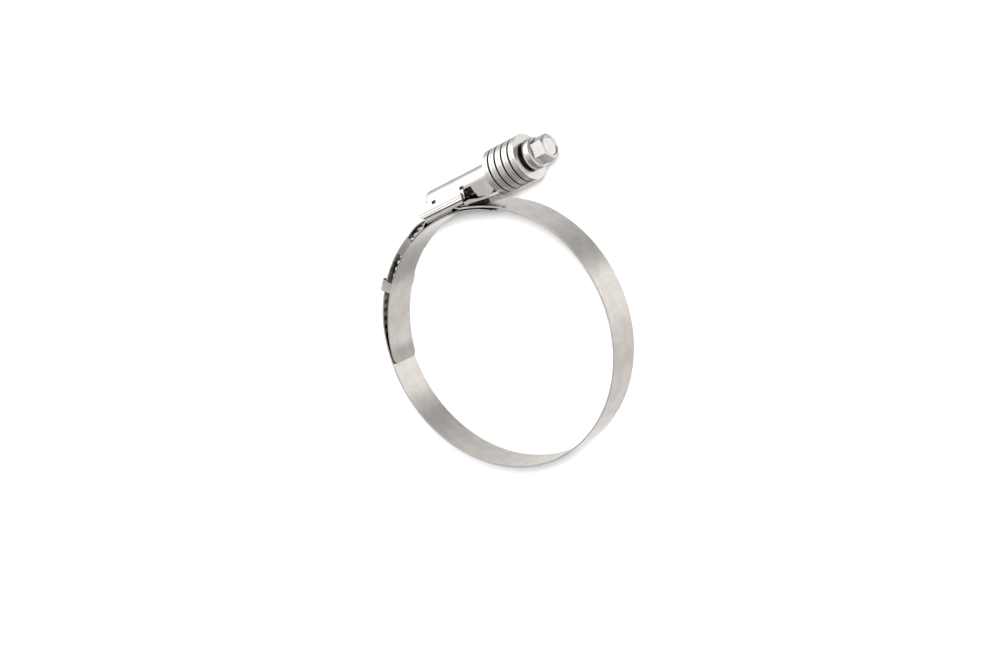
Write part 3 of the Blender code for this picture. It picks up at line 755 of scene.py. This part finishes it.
# %% [markdown]
# The band's last stretch has skewed slots for the worm's thread. The inside of that stretch and the tail's
# end under the lip are painted nearly black, as painted shade between the layers.

# %% Cut and roll the band
TONGUE_LENGTH = 18.75 * MM
TONGUE_CORNER = 2.2 * MM
TAIL_REACH = 20.2 * MM
TAIL_CORNER = 4.5 * MM
TAIL_SHOULDER = 13.0 * MM
TAIL_NARROWING = 2.5 * MM
SLOT_WIDTH = 1.7 * MM
SLOT_LENGTH = 8.0 * MM
SLOT_COUNT = 28
FIRST_SLOT = 8.275 * MM
SLOT_SKEW = 4.5
STRIP_EDGE = 0.08 * MM
PAINTED_SHADE_LENGTH = 103.0 * MM
FACES_IN = -0.9
CORNER_STEPS = 10


def strip_outline(start, end, start_corner, end_corner, shoulder=0.0, narrowing=0.0):
    """Flat strip with round corners, as (length, width) points. It may narrow from a shoulder on."""
    narrow = HALF_BAND - narrowing
    points = [(end - shoulder, HALF_BAND)] if narrowing else []
    points += arc((end - end_corner, narrow - end_corner), end_corner, 90, 0, CORNER_STEPS)
    points += arc((end - end_corner, end_corner - narrow), end_corner, 0, -90, CORNER_STEPS)
    points += [(end - shoulder, -HALF_BAND)] if narrowing else []
    points += arc((start + start_corner, start_corner - HALF_BAND), start_corner, -90, -180, CORNER_STEPS)
    points += arc((start + start_corner, HALF_BAND - start_corner), start_corner, 180, 90, CORNER_STEPS)
    return points


def slot_cutter(place):
    """One slot across the band, turned to the lead of the worm."""
    half_width = SLOT_WIDTH / 2
    reach = SLOT_LENGTH / 2 - half_width
    outline = arc((0, reach), half_width, 0, 180, 8) + arc((0, -reach), half_width, 180, 360, 8)
    bm = flat_plate(outline, -2 * BAND_THICKNESS, BAND_THICKNESS)
    skew = Matrix.Rotation(math.radians(SLOT_SKEW), 3, "Y")
    bmesh.ops.rotate(bm, verts=bm.verts, cent=(0, 0, 0), matrix=skew)
    bmesh.ops.translate(bm, verts=bm.verts, vec=(place, 0, 0))
    return bm


def slotted_band():
    end = along(360) + TAIL_REACH
    corners = (TONGUE_CORNER, TAIL_CORNER)
    outline = strip_outline(-TONGUE_LENGTH, end, *corners, TAIL_SHOULDER, TAIL_NARROWING)
    plate = flat_plate(outline, -BAND_THICKNESS, 0)
    cuts = [("DIFFERENCE", slot_cutter(end - FIRST_SLOT - i * SLOT_PITCH)) for i in range(SLOT_COUNT)]
    rolled = roll(soften(combine(plate, cuts), STRIP_EDGE), -TONGUE_LENGTH, end, band_radius)
    flat_map = rolled.loops.layers.uv[STRIP_MAP]
    for face in rolled.faces:
        place = face.calc_center_median()
        faces_in = face.normal.dot(Vector((place.x, place.y, 0)).normalized()) < FACES_IN
        before_end = end - face.loops[0][flat_map].uv.x
        # Painted shade: the inner faces of the last stretch and the tail's end under the lip take the
        # near-black steel.
        if faces_in and before_end < PAINTED_SHADE_LENGTH or before_end < TAIL_REACH - SADDLE_FRONT:
            face.material_index = 1
    return rolled


hand_over("band_look", slotted_band(), "clamp", "band_steel", strip_steel, painted_shade_steel)

# %% [markdown]
# The liner is a thinner strip inside the ring. It bridges the gap under the housing, so that the hose isn't
# pinched there. It has two low walls that guide the slotted end, and two ears folded over it.

# %% Fold and roll the liner
LINER_THICKNESS = 0.5 * MM
LINER_RIGHT_REACH = 29.1 * MM
LINER_LEFT_REACH = 81.4 * MM
LINER_SPREAD = (47.3 * MM, 90.7 * MM)
LINER_CORNER = 2.7 * MM
GUIDE_START = 19.3 * MM
GUIDE_LENGTH = 9.3 * MM
GUIDE_HEIGHT = 2.2 * MM
KEEPER_START = 43.3 * MM
KEEPER_LENGTH = 4.9 * MM
KEEPER_FOLD = 3.6 * MM
KEEPER_BEND = 1.6 * MM
TAB_ROOT = 1.0 * MM


def liner_radius(angle):
    """Outer radius of the liner, which spreads out to the band towards its left end."""
    meets_band = RING_RADIUS - BAND_THICKNESS - LAYER_GAP
    return mix(LINER_OUTER, meets_band, ease(-along(angle), *LINER_SPREAD))


def tab(section, side, start, length):
    """A (width, height) section along one edge of the flat strip, at a place left of the housing."""
    return drawn([(-start, height, side * width) for width, height in section], (-length, 0, 0))


def guide_section():
    root = HALF_BAND - TAB_ROOT
    outside = WALL_INSIDE + LINER_THICKNESS
    section = [(root, -LINER_THICKNESS), (outside, -LINER_THICKNESS), (outside, GUIDE_HEIGHT)]
    return section + [(WALL_INSIDE, GUIDE_HEIGHT), (WALL_INSIDE, 0), (root, 0)]


def keeper_section():
    middle = -math.degrees((KEEPER_START + KEEPER_LENGTH / 2) / RING_RADIUS)
    over_band = band_radius(360 + middle) - liner_radius(middle) + RUNNING_GAP
    root = HALF_BAND - TAB_ROOT
    outside = WALL_INSIDE + LINER_THICKNESS
    centre = (outside - KEEPER_BEND, over_band)
    tip = WALL_INSIDE - KEEPER_FOLD
    section = [(root, -LINER_THICKNESS), (outside, -LINER_THICKNESS)]
    section += arc(centre, KEEPER_BEND, 0, 90, 10)
    section += [(tip, over_band + LINER_THICKNESS), (tip, over_band)]
    section += arc(centre, KEEPER_BEND - LINER_THICKNESS, 90, 0, 10)
    return section + [(WALL_INSIDE, 0), (root, 0)]


def guided_liner():
    outline = strip_outline(-LINER_LEFT_REACH, LINER_RIGHT_REACH, LINER_CORNER, LINER_CORNER)
    plate = flat_plate(outline, -LINER_THICKNESS, 0)
    tabs = [tab(guide_section(), side, GUIDE_START, GUIDE_LENGTH) for side in (-1, 1)]
    tabs += [tab(keeper_section(), side, KEEPER_START, KEEPER_LENGTH) for side in (-1, 1)]
    body = soften(combine(plate, [("UNION", piece) for piece in tabs]), STRIP_EDGE)
    return roll(body, -LINER_LEFT_REACH, LINER_RIGHT_REACH, liner_radius)


hand_over("liner_look", guided_liner(), "clamp", "band_steel", liner_steel)

# %% [markdown]
# The housing is a tube pressed round the screw. It is open below the worm, so that the thread can reach the
# slots in the band, and it stands on two sloping skirts. The tube is spun, and the rest is cut and joined.

# %% Press the housing
TURNED_STEPS = 96
HOUSING_WALL = 1.0 * MM
HOUSING_ROUNDING = 2.0 * MM
NOSE_CHAMFER = 0.2 * MM
PILOT_HOLE = 2.5 * MM
SKIRT_INSET = 0.4 * MM
SKIRT_OVERHANG = 2.0 * MM
SKIRT_FRONT = 15.8 * MM
SKIRT_TOP = 1.5 * MM
WINDOW_TOP = 0.1 * MM
NOTCH_WIDTH = 2.2 * MM
NOTCH_HEIGHT = 1.3 * MM
NOTCH_RISE = 0.2 * MM
NOTCH_DEPTH = 0.7 * MM
NOTCH_PLACES = (-0.7 * MM, 15.2 * MM)
LIP_FRONT = 26.0 * MM
LIP_WALL_HEIGHT = 1.25 * MM
LIP_WALL_FLAT = 3.2 * MM
LIP_WALL_LENGTH = 8.4 * MM
CHEEK_THICKNESS = 0.8 * MM
CHEEK_INSET = 0.05 * MM
CHEEK_REAR = 20.0 * MM
CHEEK_FOOT = 21.6 * MM
CHEEK_TOE = 25.8 * MM
CHEEK_FRONT = 30.4 * MM
CHEEK_REAR_DROP = 2.5 * MM
CHEEK_FRONT_DROP = 5.2 * MM
PRESSED_EDGE = 0.12 * MM
END_WALL_INSIDE = HOUSING_REAR + HOUSING_WALL
NOTCH_FLOOR = BARREL_RADIUS - NOTCH_DEPTH


def across(points, half_width):
    """A side view in XY drawn out over the width of the clamp."""
    return drawn([(x, y, -half_width) for x, y in points], (0, 0, 2 * half_width))


def box(x, y, z):
    """A box given by its (low, high) along each axis."""
    floor_plan = [(x[0], y[0]), (x[1], y[0]), (x[1], y[1]), (x[0], y[1])]
    return drawn([(*corner, z[0]) for corner in floor_plan], (0, 0, z[1] - z[0]))


def barrel():
    edge = HOUSING_ROUNDING
    profile = [(HOUSING_REAR, PILOT_HOLE)]
    profile += arc((HOUSING_REAR + edge, BARREL_RADIUS - edge), edge, 180, 90, 8)
    profile += [(HOUSING_FRONT - NOSE_CHAMFER, BARREL_RADIUS)]
    profile += [(HOUSING_FRONT, BARREL_RADIUS - NOSE_CHAMFER), (HOUSING_FRONT, WASHER_BORE)]
    profile += [(END_WALL_INSIDE, WASHER_BORE), (END_WALL_INSIDE, PILOT_HOLE)]
    low = SCREW_HEIGHT - BARREL_RADIUS - MARGIN
    width = (-WALL_OUTSIDE, WALL_OUTSIDE)
    window = box((END_WALL_INSIDE + JOIN, WINDOW_FRONT), (low, SCREW_HEIGHT - WINDOW_TOP), width)
    under_wall = (HOUSING_REAR - MARGIN, END_WALL_INSIDE + MARGIN)
    over_band = box(under_wall, (low, SLOTTED_TOP + RUNNING_GAP), width)
    return combine(turned(profile, TURNED_STEPS), [("DIFFERENCE", window), ("DIFFERENCE", over_band)])


print("barrel from", HOUSING_REAR, "to", HOUSING_FRONT, "radius", BARREL_RADIUS)

# %% [markdown]
# The skirts slope in towards the band and the saddle's ears lie on them, so their slope is worked out once
# and used for both. The notches show where the press pinched the sheet. They are shallow, and their floors
# are painted dark as shade.

# %% Slope the skirts and sink the notches


def skirt_line():
    """Outer face of the sloping skirt: (height, half width) at its top and at its foot."""
    top = (SCREW_HEIGHT + SKIRT_TOP, math.sqrt(BARREL_RADIUS**2 - SKIRT_TOP**2))
    foot = (SLOTTED_TOP + RUNNING_GAP, WALL_INSIDE - RUNNING_GAP)
    return Vector(top), Vector(foot)


def skirt_directions():
    """Unit vectors down the skirt's outer face and straight out of it."""
    top, foot = skirt_line()
    down = (foot - top).normalized()
    return down, Vector((down.y, -down.x))


def skirt(side):
    top, foot = skirt_line()
    down, outward = skirt_directions()
    start = top - down * JOIN
    inner_foot = Vector((foot.x, foot.y - HOUSING_WALL / abs(down.x)))
    corners = [start, foot, inner_foot, start - outward * HOUSING_WALL]
    rear = HOUSING_REAR + SKIRT_INSET - SKIRT_OVERHANG
    return drawn([(rear, corner.x, side * corner.y) for corner in corners], (SKIRT_FRONT - rear, 0, 0))


def notch(place, side):
    bottom = SCREW_HEIGHT + NOTCH_RISE
    depth = sorted((side * NOTCH_FLOOR, side * (BARREL_RADIUS + MARGIN)))
    return box((place - NOTCH_WIDTH / 2, place + NOTCH_WIDTH / 2), (bottom, bottom + NOTCH_HEIGHT), depth)


print("skirt from", tuple(skirt_line()[0]), "to", tuple(skirt_line()[1]))

# %% [markdown]
# The lip under the nose holds the band's tail down. Two low walls stiffen it, and two cheeks join it to the
# sides of the nose.

# %% Fold the lip and the cheeks, and join the housing


def lip_line(x):
    """Points of the lip's upper and lower face at a place along the screw."""
    drop = (x - LIP_REAR) * math.tan(LIP_SLOPE)
    return (x, LIP_REAR_TOP - drop), (x, LIP_REAR_BOTTOM - drop)


def lip():
    rear_top, rear_bottom = lip_line(LIP_REAR)
    front_top, front_bottom = lip_line(LIP_FRONT)
    plate = across([rear_top, rear_bottom, front_bottom, front_top], WALL_OUTSIDE)
    tip_top, tip_bottom = lip_line(LIP_REAR + LIP_WALL_LENGTH)
    wall_top = LIP_REAR_BOTTOM + LIP_WALL_HEIGHT
    wall = [(LIP_REAR, wall_top), rear_bottom, tip_bottom, tip_top, (LIP_REAR + LIP_WALL_FLAT, wall_top)]
    walls = []
    for side in (-1, 1):
        points = [(x, y, side * WALL_INSIDE) for x, y in wall]
        walls.append(drawn(points, (0, 0, side * SADDLE_THICKNESS)))
    return [plate, *walls]


def cheek(side):
    """Upright wall from the side of the barrel's nose down to the lip."""
    outline = [(CHEEK_REAR, SCREW_HEIGHT + JOIN), (CHEEK_REAR, SCREW_HEIGHT - CHEEK_REAR_DROP)]
    for place in (CHEEK_FOOT, CHEEK_TOE):
        (x, top), (x, bottom) = lip_line(place)
        outline.append((x, (top + bottom) / 2))
    outline += [(CHEEK_FRONT, SCREW_HEIGHT - CHEEK_FRONT_DROP), (CHEEK_FRONT, SCREW_HEIGHT + JOIN)]
    outside = side * (BARREL_RADIUS - CHEEK_INSET)
    return drawn([(x, y, outside) for x, y in outline], (0, 0, -side * CHEEK_THICKNESS))


def in_a_notch(place):
    if abs(place.y - SCREW_HEIGHT) > 2 * NOTCH_HEIGHT or abs(abs(place.z) - NOTCH_FLOOR) > JOIN:
        return False
    return any(abs(place.x - notch_place) < NOTCH_WIDTH / 2 for notch_place in NOTCH_PLACES)


def pressed_housing():
    steps = [("UNION", skirt(side)) for side in (-1, 1)]
    steps += [("UNION", piece) for piece in lip()]
    steps += [("UNION", cheek(side)) for side in (-1, 1)]
    steps += [("DIFFERENCE", notch(place, side)) for place in NOTCH_PLACES for side in (-1, 1)]
    housing = soften(combine(barrel(), steps), PRESSED_EDGE, sharper_than=40)
    # Painted shade: the notches' floors take the near-black steel.
    for face in housing.faces:
        if in_a_notch(face.calc_center_median()):
            face.material_index = 1
    return housing


hand_over("housing_look", pressed_housing(), "clamp", "pressed_steel", pressed_steel, painted_shade_steel)

# %% [markdown]
# The saddle is one bent sheet: a plate under the band, two upright walls, and ears that lie along the skirts
# of the housing. Its end view is drawn out along the screw, and its side view then trims it like a cutter.
# The bend below each ear is a fine step, whose downward faces are painted dark as shade, and two fine ribs
# run along the ear.

# %% Bend the saddle
SADDLE_BEND = 1.2 * MM
SADDLE_WALL_RISE = 1.1 * MM
SADDLE_STEP_CHAMFER = 1.0 * MM
EAR_REACH = 3.7 * MM
EAR_CORNER = 1.3 * MM
EAR_EDGE = 0.12 * MM
EAR_OVERHANG = 2.4 * MM
BEND_STEP = 0.45 * MM
BEND_RAMP = 0.4 * MM
RIB_PLACES = (1.3 * MM, 2.3 * MM)
RIB_WIDTH = 0.3 * MM
RIB_DEPTH = 0.16 * MM


def saddle_section():
    """One half of the bent sheet, as (height, half width): plate, bend, wall, and ear along the skirt."""
    top, foot = skirt_line()
    down, outward = skirt_directions()
    near = foot + outward * LAYER_GAP
    inner_bend = Vector((near.x - down.x * (WALL_INSIDE - near.y) / -down.y, WALL_INSIDE))
    inner_end = inner_bend - down * EAR_REACH
    outer_end = inner_end + outward * SADDLE_THICKNESS
    corner = SADDLE_THICKNESS * math.tan(math.acos(-down.x) / 2)
    outer_bend = (inner_bend.x + corner, WALL_OUTSIDE)
    centre = (SADDLE_BOTTOM + SADDLE_BEND, WALL_OUTSIDE - SADDLE_BEND)
    section = arc(centre, SADDLE_BEND, 180, 90, 8) + [(outer_bend[0] - JOIN, WALL_OUTSIDE)]
    section += [(outer_bend[0] - JOIN / 2, WALL_OUTSIDE - BEND_STEP)]
    section += [tuple(Vector(outer_bend) - down * BEND_RAMP)]
    for rise in RIB_PLACES:
        middle = Vector(outer_bend) - down * rise
        section += [tuple(middle + down * RIB_WIDTH / 2), tuple(middle - outward * RIB_DEPTH)]
        section += [tuple(middle - down * RIB_WIDTH / 2)]
    section += [tuple(outer_end), tuple(inner_end)]
    return section + [tuple(inner_bend)] + arc(centre, SADDLE_BEND - SADDLE_THICKNESS, 90, 180, 6)


def saddle_side_view(top):
    """The saddle as seen from the side, with its ears reaching up to a height."""
    ear_rear = SADDLE_REAR - EAR_OVERHANG
    wall_bottom = SADDLE_BOTTOM + SADDLE_WALL_RISE
    step = SADDLE_STEP_CHAMFER
    side_view = [(SADDLE_REAR, SADDLE_BOTTOM - MARGIN), (SADDLE_PLATE_FRONT, SADDLE_BOTTOM - MARGIN)]
    side_view += [(SADDLE_PLATE_FRONT, wall_bottom - step), (SADDLE_PLATE_FRONT + step, wall_bottom)]
    side_view += [(SADDLE_FRONT, wall_bottom)]
    side_view += arc((SADDLE_FRONT - EAR_CORNER, top - EAR_CORNER), EAR_CORNER, 0, 90, 8)
    side_view += arc((ear_rear + EAR_CORNER, top - EAR_CORNER), EAR_CORNER, 90, 180, 8)
    return side_view + [(ear_rear, SLOTTED_TOP + SADDLE_THICKNESS), (SADDLE_REAR, SLOTTED_TOP)]


def bent_saddle():
    half = saddle_section()
    outline = half + [(height, -width) for height, width in reversed(half)]
    rear = SADDLE_REAR - EAR_OVERHANG - MARGIN
    sheet = drawn([(rear, height, width) for height, width in outline], (SADDLE_FRONT + MARGIN - rear, 0, 0))
    top = max(height for height, width in half)
    cutter = across(saddle_side_view(top), WALL_OUTSIDE + MARGIN)
    body = soften(combine(sheet, [("INTERSECT", cutter)]), EAR_EDGE, sharper_than=60)
    bend = max(height for height, width in half if width == WALL_OUTSIDE)
    # Painted shade: the downward faces of the step under each ear take the near-black steel.
    for face in body.faces:
        place = face.calc_center_median()
        depth = WALL_OUTSIDE - abs(place.z)
        in_step = 0 < place.y - bend < BEND_RAMP + JOIN and JOIN / 4 < depth < BEND_STEP
        if in_step and face.normal.y < 0:
            face.material_index = 1
    return body


hand_over("saddle_look", bent_saddle(), "clamp", "pressed_steel", pressed_steel, painted_shade_steel)

# %% [markdown]
# The screw is turned and rolled from one bar: a pilot tip, the worm, a plain shank through the washers, a
# collar and a hexagon head with a shallow dish in its end. Behind the collar it is painted darker, as shade.

# %% Set the screw's sizes
WORM_CREST_RADIUS = 3.62 * MM
WORM_ROOT_RADIUS = 2.75 * MM
WORM_LENGTH = 17.9 * MM
WORM_STEPS = 48
THREAD_ROOT = 0.95 * MM
THREAD_CREST = 0.45 * MM
NECK_LENGTH = 3.8 * MM
NECK_TAPER = 0.8 * MM
SHANK_RADIUS = 4.8 * MM
PILOT_RADIUS = 2.2 * MM
PILOT_CHAMFER = 0.4 * MM
COLLAR_RADIUS = 6.7 * MM
COLLAR_LENGTH = 3.7 * MM
COLLAR_CHAMFER = 0.3 * MM
COLLAR_ROUNDING = 0.7 * MM
HEAD_ACROSS_FLATS = 10.1 * MM
HEAD_LENGTH = 6.3 * MM
HEAD_TURN = 50.5
HEAD_CHAMFER_INSET = 0.15 * MM
HEAD_CHAMFER_SLOPE = 35.0
HEAD_EDGE = 0.18 * MM
DISH_RADIUS = 4.2 * MM
DISH_DEPTH = 0.55 * MM
SCREW_TIP = screw_low.x - RING_CENTRE.x
HEAD_FRONT = screw_high.x - RING_CENTRE.x
HEAD_REAR = HEAD_FRONT - HEAD_LENGTH
COLLAR_REAR = HEAD_REAR - COLLAR_LENGTH
WORM_REAR = END_WALL_INSIDE + TRAVEL + RUNNING_GAP
SHANK_REAR = WORM_REAR + WORM_LENGTH + NECK_LENGTH
print("screw from", SCREW_TIP, "to", HEAD_FRONT, "worm starts at", WORM_REAR)

# %% [markdown]
# The thread is a small section, spun with a lead of one slot's pitch. The core is one outline, turned.

# %% Roll the thread and turn the core


def worm_thread():
    inside = WORM_ROOT_RADIUS - JOIN
    start = WORM_REAR + THREAD_ROOT
    section = [(-THREAD_ROOT, inside), (-THREAD_CREST, WORM_CREST_RADIUS)]
    section += [(THREAD_CREST, WORM_CREST_RADIUS), (THREAD_ROOT, inside)]
    steps = round((WORM_LENGTH - 3 * THREAD_ROOT) / SLOT_PITCH * WORM_STEPS)
    bm = bmesh.new()
    face = bm.faces.new([bm.verts.new((start + x, SCREW_HEIGHT + radius, 0)) for x, radius in section])
    bmesh.ops.spin(
        bm,
        geom=face.verts[:] + face.edges[:] + [face],
        cent=(0, SCREW_HEIGHT, 0),
        axis=(1, 0, 0),
        dvec=(SLOT_PITCH / WORM_STEPS, 0, 0),
        angle=math.tau * steps / WORM_STEPS,
        steps=steps,
    )
    bmesh.ops.recalc_face_normals(bm, faces=bm.faces)
    return bm


def screw_core():
    corner = COLLAR_CHAMFER
    edge = COLLAR_ROUNDING
    profile = [(SCREW_TIP, 0), (SCREW_TIP, PILOT_RADIUS - PILOT_CHAMFER)]
    profile += [(SCREW_TIP + PILOT_CHAMFER, PILOT_RADIUS)]
    profile += [(WORM_REAR, PILOT_RADIUS), (WORM_REAR, WORM_ROOT_RADIUS)]
    profile += [(SHANK_REAR - NECK_TAPER, WORM_ROOT_RADIUS), (SHANK_REAR, SHANK_RADIUS)]
    profile += [(COLLAR_REAR, SHANK_RADIUS), (COLLAR_REAR, COLLAR_RADIUS - corner)]
    profile += arc((COLLAR_REAR + corner, COLLAR_RADIUS - corner), corner, 180, 90, 4)
    profile += arc((HEAD_REAR - edge, COLLAR_RADIUS - edge), edge, 90, 0, 8)
    return turned(profile + [(HEAD_REAR, 0)], TURNED_STEPS)


# %% [markdown]
# The hexagon is drawn out, and a turned shape takes off its six corners at the end, as a lathe does.

# %% Form the head and join the screw


def hexagon_head():
    corner_radius = HEAD_ACROSS_FLATS / 2 / math.cos(math.radians(30))
    rear = HEAD_REAR - COLLAR_LENGTH / 2
    corners = [math.radians(HEAD_TURN + 60 * i) for i in range(6)]
    outline = []
    for angle in corners:
        height = SCREW_HEIGHT + corner_radius * math.cos(angle)
        outline.append((rear, height, corner_radius * math.sin(angle)))
    hexagon = soften(drawn(outline, (HEAD_FRONT + MARGIN - rear, 0, 0)), HEAD_EDGE)
    wide = corner_radius + MARGIN
    face_radius = HEAD_ACROSS_FLATS / 2 - HEAD_CHAMFER_INSET
    slope = (wide - face_radius) * math.tan(math.radians(HEAD_CHAMFER_SLOPE))
    limit = [(rear - MARGIN, 0), (rear - MARGIN, wide), (HEAD_FRONT - slope, wide)]
    limit += [(HEAD_FRONT - HEAD_EDGE, face_radius + HEAD_EDGE)]
    limit += [(HEAD_FRONT, face_radius - HEAD_EDGE), (HEAD_FRONT, 0)]
    return combine(hexagon, [("INTERSECT", turned(limit, TURNED_STEPS))])


def dished_screw():
    floor = DISH_RADIUS - DISH_DEPTH
    dish = [(HEAD_FRONT - DISH_DEPTH, 0), (HEAD_FRONT - DISH_DEPTH, floor)]
    dish += [(HEAD_FRONT + DISH_DEPTH, DISH_RADIUS + DISH_DEPTH), (HEAD_FRONT + DISH_DEPTH, 0)]
    steps = [("UNION", worm_thread()), ("UNION", hexagon_head())]
    steps += [("DIFFERENCE", turned(dish, TURNED_STEPS))]
    screw = combine(screw_core(), steps)
    # Painted shade: everything behind the collar takes the darker steel.
    for face in screw.faces:
        if face.calc_center_median().x < COLLAR_REAR:
            face.material_index = 1
    return screw


hand_over("worm_screw_look", dished_screw(), "screw", "screw_steel", screw_steel, painted_shade_screw_steel)
